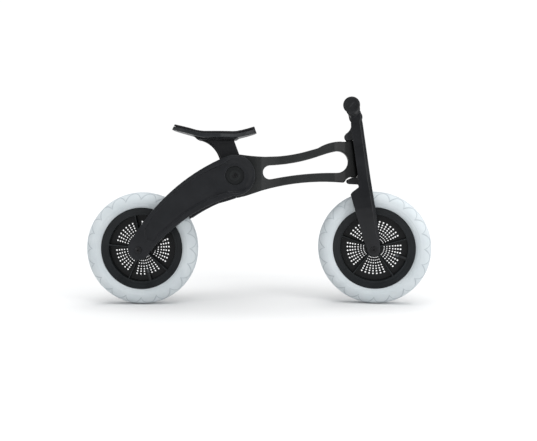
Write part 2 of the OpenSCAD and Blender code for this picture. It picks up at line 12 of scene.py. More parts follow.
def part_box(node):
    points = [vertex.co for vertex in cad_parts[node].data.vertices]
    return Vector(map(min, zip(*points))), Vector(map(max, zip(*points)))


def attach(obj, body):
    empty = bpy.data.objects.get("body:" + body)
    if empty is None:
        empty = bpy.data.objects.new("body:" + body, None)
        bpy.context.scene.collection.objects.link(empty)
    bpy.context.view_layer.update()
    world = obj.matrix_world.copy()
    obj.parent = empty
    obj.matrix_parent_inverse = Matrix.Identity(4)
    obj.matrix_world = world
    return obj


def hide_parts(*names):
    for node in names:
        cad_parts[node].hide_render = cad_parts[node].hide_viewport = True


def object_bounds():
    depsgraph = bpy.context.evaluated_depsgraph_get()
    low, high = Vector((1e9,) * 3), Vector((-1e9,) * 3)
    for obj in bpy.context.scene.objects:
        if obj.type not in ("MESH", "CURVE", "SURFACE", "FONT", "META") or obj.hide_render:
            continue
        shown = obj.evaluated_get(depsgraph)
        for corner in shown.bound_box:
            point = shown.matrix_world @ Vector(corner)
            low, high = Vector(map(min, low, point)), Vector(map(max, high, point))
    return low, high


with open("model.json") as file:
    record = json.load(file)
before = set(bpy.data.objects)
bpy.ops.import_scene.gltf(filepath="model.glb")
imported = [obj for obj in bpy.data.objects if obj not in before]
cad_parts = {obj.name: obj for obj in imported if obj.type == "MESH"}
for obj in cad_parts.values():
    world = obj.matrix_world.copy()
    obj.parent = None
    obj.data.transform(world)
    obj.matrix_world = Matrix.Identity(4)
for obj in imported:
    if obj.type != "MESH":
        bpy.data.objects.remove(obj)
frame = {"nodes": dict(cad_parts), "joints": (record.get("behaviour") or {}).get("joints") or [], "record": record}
cad_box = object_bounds()

MM = 0.001
WELD = 0.002 * MM
joints = {j["name"]: j for j in frame["joints"]}

# ---------------------------------------------------------------- places, all from the frame

hub = Vector(joints["rear_arms_hub"]["pos_m"])
rear_centre = Vector(joints["rear_wheel_spin"]["pos_m"])
front_centre = Vector(joints["front_wheel_spin"]["pos_m"])
steer_axis = Vector(joints["steering"]["axis"]).normalized()
steer_foot = Vector(joints["steering"]["pos_m"])
front_axle_dir = Vector(joints["front_wheel_spin"]["axis"]).normalized()
# the fork is stored turned to the right by this angle
turned_angle = -math.acos(front_axle_dir.y)
turn = Matrix.Rotation(turned_angle, 4, steer_axis)

tyre_r = (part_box("rear_tyre")[1].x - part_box("rear_tyre")[0].x) / 2
tyre_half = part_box("rear_tyre")[1].y
arm_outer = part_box("rear_arm_left")[1].y

# wheel places: the wheel's own frame has its axle along Y
rear_wheel_at = Matrix.Translation(rear_centre)
front_wheel_at = Matrix.Translation(front_centre) @ turn

# ---------------------------------------------------------------- materials


def node_of(tree, kind, **sockets):
    """A shader node with its input sockets set by name."""
    n = tree.nodes.new(kind)
    for key, value in sockets.items():
        n.inputs[key.replace("_", " ")].default_value = value
    return n


def moulded(name, low, high, rough=0.5, rough_swing=0.08, grain_mm=0.8, grain=0.12, patch_mm=45,
            edge_highlight=0.0, specular=0.2, metallic=0.0, anisotropic=0.0, swirl=0.0, painted_shade_colour=None):
    """A moulded or turned surface: colour drifts between low and high over patches, a fine grain
    roughens it, and a painted highlight lightens what stands proud, such as edges. Where the mesh has a
    "groove" attribute, the colour turns to the painted shade colour given, a painted shade in recesses, tread cuts
    and the frame's head."""
    m = bpy.data.materials.new(name)
    m.use_nodes = True
    tree = m.node_tree
    link = tree.links.new
    shader = tree.nodes["Principled BSDF"]
    shader.inputs["Specular IOR Level"].default_value = specular
    shader.inputs["Metallic"].default_value = metallic
    shader.inputs["Anisotropic"].default_value = anisotropic
    place = tree.nodes.new("ShaderNodeTexCoord").outputs["Object"]

    patches = node_of(tree, "ShaderNodeTexNoise", Scale=1 / (patch_mm * MM), Detail=4.0, Roughness=0.6)
    link(place, patches.inputs["Vector"])
    tint = tree.nodes.new("ShaderNodeValToRGB")
    tint.color_ramp.elements[0].position = 0.34
    tint.color_ramp.elements[0].color = (*low, 1)
    tint.color_ramp.elements[1].position = 0.68
    tint.color_ramp.elements[1].color = (*high, 1)
    link(patches.outputs["Fac"], tint.inputs["Fac"])
    colour = tint.outputs["Color"]

    speckle = node_of(tree, "ShaderNodeTexNoise", Scale=1 / (grain_mm * MM), Detail=2.0, Roughness=0.5)
    link(place, speckle.inputs["Vector"])

    # painted highlight: edges that stand proud are lightened, as if they caught the light
    if edge_highlight:
        proud = tree.nodes.new("ShaderNodeNewGeometry")
        edge = tree.nodes.new("ShaderNodeMapRange")
        edge.inputs["From Min"].default_value = 0.52
        edge.inputs["From Max"].default_value = 0.62
        edge.inputs["To Max"].default_value = edge_highlight
        link(proud.outputs["Pointiness"], edge.inputs["Value"])
        lighter = tree.nodes.new("ShaderNodeMix")
        lighter.data_type = "RGBA"
        lighter.inputs["B"].default_value = (*[min(1.0, 2.6 * c + 0.03) for c in high], 1)
        link(edge.outputs["Result"], lighter.inputs["Factor"])
        link(colour, lighter.inputs["A"])
        colour = lighter.outputs["Result"]
    # painted shade: where the "groove" attribute is set, the colour darkens towards the painted shade colour
    if painted_shade_colour:
        cut = tree.nodes.new("ShaderNodeAttribute")
        cut.attribute_name = "groove"
        painted_shade_mix = tree.nodes.new("ShaderNodeMix")
        painted_shade_mix.data_type = "RGBA"
        painted_shade_mix.inputs["B"].default_value = (*painted_shade_colour, 1)
        link(cut.outputs["Fac"], painted_shade_mix.inputs["Factor"])
        link(colour, painted_shade_mix.inputs["A"])
        colour = painted_shade_mix.outputs["Result"]
    link(colour, shader.inputs["Base Color"])

    gloss = tree.nodes.new("ShaderNodeMapRange")
    gloss.inputs["To Min"].default_value = rough - rough_swing
    gloss.inputs["To Max"].default_value = rough + rough_swing
    link(patches.outputs["Fac"], gloss.inputs["Value"])
    link(gloss.outputs["Result"], shader.inputs["Roughness"])

    bump = node_of(tree, "ShaderNodeBump", Strength=grain, Distance=grain_mm * MM * 0.25)
    link(speckle.outputs["Fac"], bump.inputs["Height"])
    last = bump
    if swirl:
        rings = node_of(tree, "ShaderNodeTexWave", Scale=swirl, Distortion=1.5, Detail=2.0)
        link(place, rings.inputs["Vector"])
        turned = node_of(tree, "ShaderNodeBump", Strength=0.08, Distance=0.0001)
        link(rings.outputs["Fac"], turned.inputs["Height"])
        link(bump.outputs["Normal"], turned.inputs["Normal"])
        last = turned
    link(last.outputs["Normal"], shader.inputs["Normal"])
    return m


# its painted shade colour darkens the frame's head
charcoal = moulded("charcoal_frame", (0.0105, 0.0118, 0.0120), (0.0165, 0.0180, 0.0182), rough=0.46,
                   grain_mm=1.1, grain=0.25, edge_highlight=0.5, specular=0.28, painted_shade_colour=(0.0030, 0.0032, 0.0034))
arm_grey = moulded("charcoal_arm", (0.0090, 0.0098, 0.0116), (0.0135, 0.0145, 0.0168), rough=0.42,
                   grain_mm=1.1, grain=0.25, edge_highlight=0.4)
fork_grey = moulded("charcoal_fork", (0.0075, 0.0080, 0.0094), (0.0115, 0.0121, 0.0140), rough=0.34,
                    grain_mm=1.1, grain=0.2, edge_highlight=0.45, specular=0.27)
post_grey = moulded("charcoal_post", (0.0092, 0.0098, 0.0112), (0.0136, 0.0143, 0.0160), rough=0.44,
                    grain_mm=1.1, grain=0.25, edge_highlight=0.4)
plate_grey = moulded("charcoal_plate", (0.0080, 0.0084, 0.0096), (0.0120, 0.0125, 0.0140), rough=0.5,
                     grain_mm=1.0, grain=0.25, edge_highlight=0.3)
cap_grey = moulded("charcoal_cap", (0.0075, 0.0086, 0.0092), (0.0115, 0.0130, 0.0138), rough=0.40,
                   grain_mm=0.9, grain=0.2, edge_highlight=0.4)
shell_grey = moulded("seat_shell_grey", (0.0150, 0.0165, 0.0185), (0.0215, 0.0232, 0.0255), rough=0.42,
                     grain_mm=1.2, grain=0.3, edge_highlight=0.3)
pad_black = moulded("seat_pad_foam", (0.0065, 0.0066, 0.0076), (0.0115, 0.0116, 0.0128), rough=0.72,
                    rough_swing=0.1, grain_mm=1.6, grain=0.6, patch_mm=30, specular=0.25)
grip_black = moulded("grip_rubber", (0.0070, 0.0076, 0.0088), (0.0115, 0.0122, 0.0138), rough=0.62,
                     grain_mm=1.2, grain=0.5, patch_mm=20, edge_highlight=0.35)
# its painted shade colour darkens the recessed web
wheel_black = moulded("wheel_plastic", (0.0080, 0.0096, 0.0110), (0.0125, 0.0148, 0.0168), rough=0.38,
                      grain_mm=0.9, grain=0.2, edge_highlight=0.4, painted_shade_colour=(0.0016, 0.0020, 0.0024))
# its painted shade colour darkens the tread's cut lines
tyre_pale = moulded("tyre_rubber", (0.556, 0.603, 0.627), (0.622, 0.661, 0.682), rough=0.78,
                    rough_swing=0.08, grain_mm=1.4, grain=0.45, patch_mm=60, painted_shade_colour=(0.350, 0.390, 0.420))
tube_black = moulded("valve_rubber", (0.0150, 0.0160, 0.0170), (0.0240, 0.0260, 0.0270), rough=0.5,
                     grain_mm=0.6, grain=0.3, patch_mm=8)
valve_cap_black = moulded("valve_cap_plastic", (0.0320, 0.0350, 0.0380), (0.0520, 0.0560, 0.0600),
                          rough=0.35, grain_mm=0.6, grain=0.2, patch_mm=8, edge_highlight=0.4)
dark_steel = moulded("dark_steel", (0.030, 0.032, 0.034), (0.065, 0.068, 0.072), rough=0.34, metallic=0.85,
                     grain_mm=0.4, grain=0.15, patch_mm=6, edge_highlight=0.3, swirl=900)
black_steel = moulded("black_steel", (0.006, 0.006, 0.007), (0.014, 0.014, 0.015), rough=0.3, metallic=0.3,
                      grain_mm=0.4, grain=0.15, patch_mm=6, edge_highlight=0.5)
bright_steel = moulded("ground_steel", (0.42, 0.43, 0.44), (0.56, 0.57, 0.58), rough=0.3, metallic=1.0,
                       grain_mm=0.4, grain=0.1, patch_mm=8, swirl=900)
satin_tube = moulded("satin_aluminium", (0.38, 0.39, 0.395), (0.46, 0.47, 0.475), rough=0.42, metallic=0.6,
                     grain_mm=0.5, grain=0.12, patch_mm=25, anisotropic=0.4, swirl=600)
bush_dark = moulded("bush_nylon", (0.010, 0.010, 0.010), (0.018, 0.018, 0.018), rough=0.5, grain_mm=0.6)

# ---------------------------------------------------------------- mesh helpers


def piece(name, mesh, body, material, stands_for=(), sharp=35):
    """A finished mesh as a piece that rides on a body and stands for CAD nodes."""
    mesh.materials.clear()
    mesh.materials.append(material)
    for p in mesh.polygons:
        p.use_smooth = True
    mesh.set_sharp_from_angle(angle=math.radians(sharp))
    ob = bpy.data.objects.new(name, mesh)
    bpy.context.scene.collection.objects.link(ob)
    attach(ob, body)
    if stands_for:
        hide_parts(*stands_for)
    return ob


def mesh_of(bm, name, matrix=None):
    """A bmesh as a clean mesh with its normals outward."""
    if matrix is not None:
        bmesh.ops.transform(bm, matrix=matrix, verts=bm.verts)
    bmesh.ops.recalc_face_normals(bm, faces=bm.faces)
    mesh = bpy.data.meshes.new(name)
    bm.to_mesh(mesh)
    bm.free()
    return mesh


def with_modifiers(mesh, *modifiers):
    """The mesh after some modifiers, each a (type, settings) pair."""
    ob = bpy.data.objects.new("working", mesh)
    bpy.context.scene.collection.objects.link(ob)
    for kind, settings in modifiers:
        mod = ob.modifiers.new(kind, kind)
        for key, value in settings.items():
            setattr(mod, key, value)
    graph = bpy.context.evaluated_depsgraph_get()
    done = bpy.data.meshes.new_from_object(ob.evaluated_get(graph))
    bpy.data.objects.remove(ob)
    return done


def points_of(mesh):
    """The mesh's points as an n by 3 array, in metres."""
    flat = np.empty(len(mesh.vertices) * 3, np.float32)
    mesh.vertices.foreach_get("co", flat)
    return flat.reshape(-1, 3).astype(float)


def store_painted_shade(mesh, values):
    """Gives each point its share of the painted shade colour, from 0 to 1, for the material to read through the
    "groove" attribute.
    """
    flat = values.astype(np.float32).ravel()
    mesh.attributes.new("groove", "FLOAT", "POINT").data.foreach_set("value", flat)
    return mesh


def softened(nodes, voxel_mm, rounds, shape=None, keep=0.3, after=3):
    """A copy of CAD nodes with every edge rounded, as moulded plastic is. shape(points) may carve
    the surface before the last smoothing; points are an n by 3 array in metres."""
    bm = bmesh.new()
    for n in nodes:
        bm.from_mesh(frame["nodes"][n].data)
    bmesh.ops.remove_doubles(bm, verts=bm.verts, dist=WELD)
    mesh = mesh_of(bm, nodes[0] + "_copy")
    remesh = ("REMESH", {"mode": "VOXEL", "voxel_size": voxel_mm * MM, "use_smooth_shade": True})
    mesh = with_modifiers(mesh, remesh, ("SMOOTH", {"factor": 0.5, "iterations": rounds}))
    if shape:
        carved = shape(points_of(mesh))
        mesh.vertices.foreach_set("co", carved.astype(np.float32).ravel())
        mesh.update()
        mesh = with_modifiers(mesh, ("SMOOTH", {"factor": 0.5, "iterations": after}))
    return with_modifiers(mesh, ("DECIMATE", {"ratio": keep}))


def step(x, low, high):
    """0 below low, 1 above high, and smooth between."""
    t = np.clip((x - low) / (high - low), 0, 1)
    return t * t * (3 - 2 * t)


def lathe(loop, steps):
    """A closed outline of (radius, y) points turned about the Y axis."""
    bm = bmesh.new()
    rings = []
    for i in range(steps):
        t = 2 * math.pi * i / steps
        rings.append([bm.verts.new((r * math.cos(t), y, r * math.sin(t))) for r, y in loop])
    for a, b in zip(rings, rings[1:] + rings[:1]):
        for k in range(len(loop)):
            m = (k + 1) % len(loop)
            bm.faces.new((a[k], a[m], b[m], b[k]))
    return bm


def add_lathe(bm, loop, steps):
    """Adds a turned closed outline to a bmesh."""
    part = lathe(loop, steps)
    spare = bpy.data.meshes.new("spare")
    part.to_mesh(spare)
    part.free()
    bm.from_mesh(spare)
    bpy.data.meshes.remove(spare)


# ---------------------------------------------------------------- main frame, arms and hub

# painted shade: the frame's colour is darkened in its head, between the fork's lugs, where their shade falls
HEAD_FROM, HEAD_TO, HEAD_PAINTED_SHADE = 196 * MM, 226 * MM, 0.85
frame_mesh = softened(["mainframe"], 1.3, 9, keep=0.35)
store_painted_shade(frame_mesh, HEAD_PAINTED_SHADE * step(points_of(frame_mesh)[:, 0], HEAD_FROM, HEAD_TO))
piece("frame_body", frame_mesh, "main_frame", charcoal, ["mainframe"], sharp=60)

# Each arm's shallow panel runs down towards the hub in a smooth ramp, into a bowl round the cap's cup
PANEL_DEEP, BOWL_DEEP = 4 * MM, 7.5 * MM
RAMP_FROM, RAMP_TO = -98 * MM, -50 * MM
CUP_R = 24.7 * MM
BOWL_LIP, BOWL_FOOT = 52 * MM, 31 * MM
CREASE_LIP, CREASE_FOOT = 48 * MM, 42 * MM
# the crease fades in between these sines of the angle below level
CREASE_FROM, CREASE_FULL = 0.45, 0.9
# the bowl fades in between these distances from the hub
BOWL_FROM, BOWL_TO = -26 * MM, -2 * MM
panel_floor, bowl_floor = arm_outer - PANEL_DEEP, arm_outer - BOWL_DEEP
ramp_from, ramp_to = hub.x + RAMP_FROM, hub.x + RAMP_TO


def arm_shape(side):
    """A carver for the arm on one side, -1 right and 1 left."""
    def shape(points):
        x, out, z = points[:, 0], points[:, 1] * side, points[:, 2]
        down = np.clip((x - ramp_from) / (ramp_to - ramp_from), 0, 1) ** 2
        floor = panel_floor - (panel_floor - bowl_floor) * down
        inside = (out < panel_floor + 0.7 * MM) & (out > bowl_floor - 1 * MM)
        near = (x > ramp_from) & (x < ramp_to + 5 * MM)
        out = np.where(inside & near, np.minimum(out, floor), out)
        # the bowl: a gentle slope ahead and above, and a steeper one with a crease underneath
        far = np.hypot(x - hub.x, z - hub.z)
        under = step(-(z - hub.z) / np.maximum(far, 1e-6), CREASE_FROM, CREASE_FULL)
        lip = BOWL_LIP + (CREASE_LIP - BOWL_LIP) * under
        foot = BOWL_FOOT + (CREASE_FOOT - BOWL_FOOT) * under
        bowl = bowl_floor + (arm_outer - bowl_floor) * step(far, foot, lip)
        ahead = step(x, hub.x + BOWL_FROM, hub.x + BOWL_TO)
        skin = (far > CUP_R + 1.2 * MM) & (far < BOWL_LIP + 1.5 * MM) & (out > bowl_floor - 1 * MM)
        out = np.where(skin, out + (bowl - out) * ahead, out)
        points[:, 1] = side * out
        return points
    return shape


for side, name in ((-1, "rear_arm_right"), (1, "rear_arm_left")):
    piece(name + "_body", softened([name], 1.1, 4, shape=arm_shape(side), keep=0.3, after=6), "rear_arms",
          arm_grey, [name], sharp=60)

piece("arm_bridge_body", softened(["arm_bridge"], 1.0, 4, keep=0.35), "rear_arms", arm_grey,
      ["arm_bridge"], sharp=60)

# ---------------------------------------------------------------- fork

# The fork's front edge and half width against the height along the steering axis, in millimetres
FRONT_AT = ((-165, 41.8), (-95, 43), (-30, 41.9), (0, 41.3), (112, 41.6), (150, 41.7), (164, 41),
            (181, 39.2))
HALF_AT = ((-100, 50), (-75, 49), (-45, 45), (0, 34.6), (50, 27), (100, 21.6), (150, 18.5), (175, 18))
CHAMFER = 7.5 * MM
FACET_DEPTH = 16 * MM
# the facet fades out between these heights along the steering axis
FACET_TOP, FACET_FOOT = (150 * MM, 172 * MM), (-170 * MM, -140 * MM)
forwards = Vector((steer_axis.z, 0, -steer_axis.x))


def fork_shape(points):
    """Cuts a facet along both front edges of the column and the blades."""
    unturn = np.array(turn.to_3x3())
    local = (points - np.array(steer_foot)) @ unturn
    ahead = local @ np.array(forwards)
    up = local @ np.array(steer_axis)
    wide = local[:, 1]
    front = np.interp(up / MM, *zip(*FRONT_AT)) * MM
    half = np.interp(up / MM, *zip(*HALF_AT)) * MM
    facet = CHAMFER * (1 - step(up, *FACET_TOP)) * step(up, *FACET_FOOT)
    proud = np.maximum(0, (ahead - front) + (np.abs(wide) - half) + facet) / 2
    proud = np.where(ahead > front - FACET_DEPTH, proud, 0)
    local = local - proud[:, None] * np.array(forwards)
    local[:, 1] -= proud * np.sign(wide)
    return local @ unturn.T + np.array(steer_foot)


piece("fork_body", softened(["fork"], 1.1, 3, shape=fork_shape, keep=0.3, after=2), "steering", fork_grey,
      ["fork"], sharp=60)

# ---------------------------------------------------------------- seat

# The post's sides are sunk a little between a rim along its front and a wider one along its flare
post_axis = Vector(joints["seat_height"]["axis"]).normalized()
post_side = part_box("seat_post")[1].y
POST_BACK, POST_FRONT, FLARE_R, FLARE_FROM = -25.4 * MM, 28.0 * MM, 72 * MM, 62 * MM
RIM_BACK, RIM_FRONT, SUNK = 4.5 * MM, 3.2 * MM, 1.4 * MM
RIM_SOFT = 0.8 * MM
SUNK_FROM, SUNK_FULL = 52 * MM, 55 * MM


def post_shape(points):
    """Sinks the post's two sides between their rims."""
    across = (points[:, 0] - hub.x) * post_axis.z - (points[:, 2] - hub.z) * post_axis.x
    up = (points[:, 0] - hub.x) * post_axis.x + (points[:, 2] - hub.z) * post_axis.z
    flare = np.hypot(across - (POST_BACK - FLARE_R), up - FLARE_FROM) - FLARE_R
    from_back = np.where(up > FLARE_FROM, flare, across - POST_BACK)
    panel = step(from_back, RIM_BACK - RIM_SOFT, RIM_BACK + RIM_SOFT)
    panel = panel * step(POST_FRONT - across, RIM_FRONT - RIM_SOFT, RIM_FRONT + RIM_SOFT)
    panel = panel * step(up, SUNK_FROM, SUNK_FULL)
    side_face = np.abs(points[:, 1]) > post_side - 1.5 * MM
    points[:, 1] -= np.sign(points[:, 1]) * SUNK * panel * side_face
    return points


piece("seat_post_body", softened(["seat_post"], 0.9, 3, shape=post_shape, keep=0.35, after=1), "seat",
      post_grey, ["seat_post"], sharp=60)
piece("seat_plate_body", softened(["seat_plate"], 0.8, 4, keep=0.4), "seat", plate_grey,
      ["seat_plate"], sharp=60)
piece("seat_shell_body", softened(["seat_shell"], 1.1, 10, keep=0.35), "seat", shell_grey,
      ["seat_shell"], sharp=60)

pad_low, pad_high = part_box("seat_pad")
CROWN = 1.6 * MM


def pad_crown(points):
    """Crowns the pad's top from side to side."""
    across = np.clip(1 - (points[:, 1] / pad_high.y) ** 2, 0, 1)
    points[:, 2] += CROWN * across * (points[:, 2] > pad_low.z + 2 * MM)
    return points


pad = piece("seat_pad_body", softened(["seat_pad"], 1.0, 5, shape=pad_crown, keep=0.35), "seat", pad_black,
            ["seat_pad"], sharp=60)

# ---------------------------------------------------------------- wheels

# the rows of holes in the web, as (distance from the axle, hole radius) in millimetres
ROWS = [(70.5, 2.2), (63.5, 2.1), (57.0, 2.0), (50.0, 1.85), (42.0, 1.65), (34.6, 1.4), (27.5, 1.2)]
SECTORS = 5
HOLES_A_ROW = 7
HOLE_PITCH = math.radians(8.35)
WEB_HALF = 1.5 * MM
# painted shade: the share of the painted shade colour on the recessed web
WEB_PAINTED_SHADE = 0.9
WELL = 89 * MM
RIB_TOP = 11.5 * MM
HUB_TUBE = 15 * MM
HUB_OUTLINE = [(6.2, -17.5), (13.6, -17.5), (15.0, -16.2), (15.4, -8.0), (16.6, -2.5), (16.6, 2.5),
               (15.4, 8.0), (15.0, 16.2), (13.6, 17.5), (6.2, 17.5)]


def perforated_web(rib_angle):
    """The wheel's web: a disc with rows of small holes in each sector between two ribs."""
    bm = bmesh.new()

    def ring(cx, cz, r, n):
        vs = [bm.verts.new((cx + r * math.cos(2 * math.pi * i / n), -WEB_HALF,
                            cz + r * math.sin(2 * math.pi * i / n))) for i in range(n)]
        for i in range(n):
            bm.edges.new((vs[i], vs[(i + 1) % n]))

    ring(0, 0, WELL + 0.5 * MM, 160)
    ring(0, 0, HUB_TUBE - 1 * MM, 48)
    for s in range(SECTORS):
        middle = rib_angle + math.pi / SECTORS + s * 2 * math.pi / SECTORS
        for r, hole in ROWS:
            for k in range(HOLES_A_ROW):
                t = middle + (k - (HOLES_A_ROW - 1) / 2) * HOLE_PITCH
                ring(r * MM * math.cos(t), r * MM * math.sin(t), hole * MM, 14)
    bmesh.ops.triangle_fill(bm, edges=bm.edges[:], use_beauty=True, normal=(0, -1, 0))
    grown = bmesh.ops.extrude_face_region(bm, geom=bm.faces[:])
    moved = [g for g in grown["geom"] if isinstance(g, bmesh.types.BMVert)]
    bmesh.ops.translate(bm, vec=(0, 2 * WEB_HALF, 0), verts=moved)
    return bm


def add_rib(bm, angle, side):
    """One rib standing on the web, thinner at its top and lower towards the rim."""
    inner, outer = HUB_TUBE - 1 * MM, WELL + 5.5 * MM
    foot, top = 1.7 * MM, 1.1 * MM
    rows = []
    for i in range(9):
        r = inner + (outer - inner) * i / 8
        height = RIB_TOP + 3.2 * MM * (1 - i / 8) ** 2
        rows.append([(r, -foot, WEB_HALF * 0.5), (r, -top, height - 0.5 * MM), (r, -top + 0.5 * MM, height),
                     (r, top - 0.5 * MM, height), (r, top, height - 0.5 * MM), (r, foot, WEB_HALF * 0.5)])
    turn_to = Matrix.Rotation(-angle, 4, "Y")
    rings = [[bm.verts.new(turn_to @ Vector((r, side * h, w))) for r, w, h in row] for row in rows]
    for a, b in zip(rings, rings[1:]):
        for k in range(6):
            bm.faces.new((a[k], a[(k + 1) % 6], b[(k + 1) % 6], b[k]))
    bm.faces.new(rings[0])
    bm.faces.new(rings[-1][::-1])


def rim_section():
    """The rim's outline: rounded outer lip, bead seat, and an inner bevel with a shallow channel.
    The points are (radius, y) in millimetres for one half, and the other half mirrors it."""
    right = [(99.6, -9.0), (99.9, -12.2), (101.8, -13.5), (108.4, -13.6), (109.0, -14.3), (108.9, -15.1),
             (108.0, -15.7), (106.2, -15.75), (104.4, -15.2), (103.0, -14.6), (101.2, -14.3), (99.0, -14.1),
             (96.6, -13.5), (94.6, -12.6), (92.9, -12.3), (91.4, -12.4), (90.0, -12.1), (89.2, -11.3),
             (89.0, -10.2), (89.0, -5.0)]
    left = [(r, -y) for r, y in right[::-1]]
    return [(r * MM, y * MM) for r, y in right + left]


def wheel_mesh(name, rib_angle, at):
    """A wheel: web, rim, hub tube, and ribs on both faces of the web."""
    bm = perforated_web(rib_angle)
    add_lathe(bm, rim_section(), 192)
    add_lathe(bm, [(r * MM, y * MM) for r, y in HUB_OUTLINE], 64)
    for k in range(SECTORS):
        for side in (-1, 1):
            add_rib(bm, rib_angle + k * 2 * math.pi / SECTORS, side)
    mesh = mesh_of(bm, name)
    # painted shade: the recessed web is darkened, as if in shade between the rim and the ribs
    on_web = np.abs(points_of(mesh)[:, 1]) < WEB_HALF + 0.3 * MM
    store_painted_shade(mesh, WEB_PAINTED_SHADE * on_web)
    mesh.transform(at)
    return mesh


# Tyre: the tread's blocks stand at the CAD surface, and the sidewall and grooves lie lower
SECTION_R = tyre_half
RING_R = tyre_r - SECTION_R
BLOCKS = 20
LEAN = 0.8
BEAD_ANGLE = math.radians(131.5)
CUSP, CREST = math.radians(77), math.radians(27)
LINE_HALF, LINE_DEEP = 1.4 * MM, 1.0 * MM
# raised rings on the sidewall, as (angle round the section in degrees, height in millimetres)
SIDE_RINGS = ((96, 0.5), (108, 0.45), (118, 0.7))
# the tyre's inside, from one bead to the middle, as (radius, y) in millimetres
INNER_LINE = [(109.2, 16.0), (109.2, 13.7), (108.0, 13.45), (102.2, 13.35), (101.9, 12.4), (102.4, 9.3),
              (105.5, 9.1), (111.0, 15.0), (118.0, 18.4), (125.2, 19.8), (138.0, 15.0), (143.0, 8.0)]


def groove(distance, half):
    """1 in the middle of a groove and 0 outside it."""
    return np.clip(1 - (distance / half) ** 2, 0, 1)


def tread(t, phi):
    """How deep the tread is cut below its outer face, in metres, and how much of that is groove, as its share of
    the painted shade colour.
    On each flank a row of scallops runs from crests near the middle to cusps down the sidewall."""
    pitch = 2 * math.pi / BLOCKS
    a = np.abs(phi)
    u = ((t / pitch + 0.5 * (phi > 0)) % 1.0) ** LEAN
    span = CUSP - CREST
    line = CUSP - span * np.sin(math.pi * u)
    slope = -span * math.pi * LEAN * np.cos(math.pi * u) / (pitch * (RING_R + SECTION_R * np.cos(a)))
    distance = (a - line) / np.hypot(1 / SECTION_R, slope)
    scallop = groove(distance, LINE_HALF)
    # short lines cross the crown in a zigzag, between two rails
    zigzag = (2 * t / pitch + 0.35 * phi / CREST) % 1.0 - 0.5
    crown = groove((np.abs(zigzag) - 0.5) * pitch / 2 * tyre_r, LINE_HALF) * (a < CREST * 0.75)
    rail = groove((a - CREST * 0.78) * SECTION_R, LINE_HALF)
    cut = np.maximum.reduce([scallop, crown, rail])
    depth = LINE_DEEP * cut + 0.4 * MM * step(distance, -0.5 * MM, 1.5 * MM) * (1 - cut)
    for ring, high in SIDE_RINGS:
        depth = depth - high * MM * groove((a - math.radians(ring)) * SECTION_R, 1.5 * MM)
    return np.maximum(depth, 0), np.maximum(scallop, 0.7 * np.maximum(crown, rail))


def tyre_mesh(name, at):
    """A hollow tyre with its tread cut in, closed along the inside."""
    steps, outer = BLOCKS * 30, 104
    t = np.linspace(0, 2 * math.pi, steps, endpoint=False)[:, None]
    phi = np.linspace(-BEAD_ANGLE, BEAD_ANGLE, outer)[None, :]
    depth, cut = tread(*np.broadcast_arrays(t, phi))
    radius = RING_R + (SECTION_R - depth) * np.cos(phi)
    across = (SECTION_R - depth) * np.sin(phi)
    inner = INNER_LINE + [(145.0, 0.0)] + [(r, -y) for r, y in INNER_LINE[::-1]]
    inner_r, inner_y = np.array(inner).T * MM
    radius = np.hstack([radius, np.tile(inner_r, (steps, 1))])
    across = np.hstack([across, np.tile(inner_y, (steps, 1))])
    cut = np.hstack([cut, np.zeros((steps, len(inner)))])
    points = np.stack([radius * np.cos(t), across, radius * np.sin(t)], axis=2)
    count = radius.shape[1]
    bm = bmesh.new()
    rings = [[bm.verts.new(p) for p in ring] for ring in points]
    for a, b in zip(rings, rings[1:] + rings[:1]):
        for k in range(count):
            m = (k + 1) % count
            bm.faces.new((a[k], a[m], b[m], b[k]))
    # painted shade: the tread's cut lines are darkened by their share of the painted shade colour
    return store_painted_shade(mesh_of(bm, name, at), cut)


REAR_RIBS = math.radians(30)
FRONT_RIBS = math.radians(16)
for end, at, ribs in (("rear", rear_wheel_at, REAR_RIBS), ("front", front_wheel_at, FRONT_RIBS)):
    body = end + "_wheel"
    piece(end + "_wheel_body", wheel_mesh(end + "_wheel_mesh", ribs, at), body, wheel_black,
          [end + "_rim"], sharp=32)
    piece(end + "_tyre_body", tyre_mesh(end + "_tyre_mesh", at), body, tyre_pale,
          [end + "_tyre"], sharp=60)

# ---------------------------------------------------------------- grips and handlebar

BAR_R = 11.1 * MM
bar_mount = next(m for m in frame["record"]["mounts"] if m["name"] == "bar_tube_right")
BAR_HALF = 185 * MM
GRIP_LEN = 112 * MM
FINGER_RINGS = 15
# the bare tube that the mount names the middle of, measured from the bike's middle plane
TUBE_FROM, TUBE_TO = 18 * MM, 73 * MM


def grip_outline(side):
    """A rubber grip's outline: an inner flange, shallow finger rings, and a big rounded guard."""
    flange = [(17.0, 0.0), (18.0, 0.8), (18.0, 3.0), (17.2, 3.9)]
    body = [(BAR_R, 0.0)] + [(r * MM, y * MM) for r, y in flange]
    start, stop = 7 * MM, GRIP_LEN - 12 * MM
    for k in range(FINGER_RINGS * 6 + 1):
        u = k / (FINGER_RINGS * 6)
        wave = 0.5 - 0.5 * math.cos(2 * math.pi * u * FINGER_RINGS)
        waist = 0.5 * MM * math.sin(math.pi * u)
        body.append((14.7 * MM + 0.8 * MM * wave - waist, start + (stop - start) * u))
    guard = [(15.8, -9.2), (18.0, -8.6), (19.4, -7.2), (20.1, -5.4), (20.2, -4.2), (20.0, -2.8), (19.2, -1.4),
             (17.8, -0.4), (16.2, 0.0), (14.6, -0.15), (13.9, -0.7), (13.2, -0.9), (6.0, -0.75), (0.05, -0.7)]
    body += [(r * MM, GRIP_LEN + y * MM) for r, y in guard]
    body += [(0.05 * MM, GRIP_LEN - 4 * MM), (BAR_R, GRIP_LEN - 4 * MM)]
    return [(r, side * (BAR_HALF - GRIP_LEN + y)) for r, y in body]


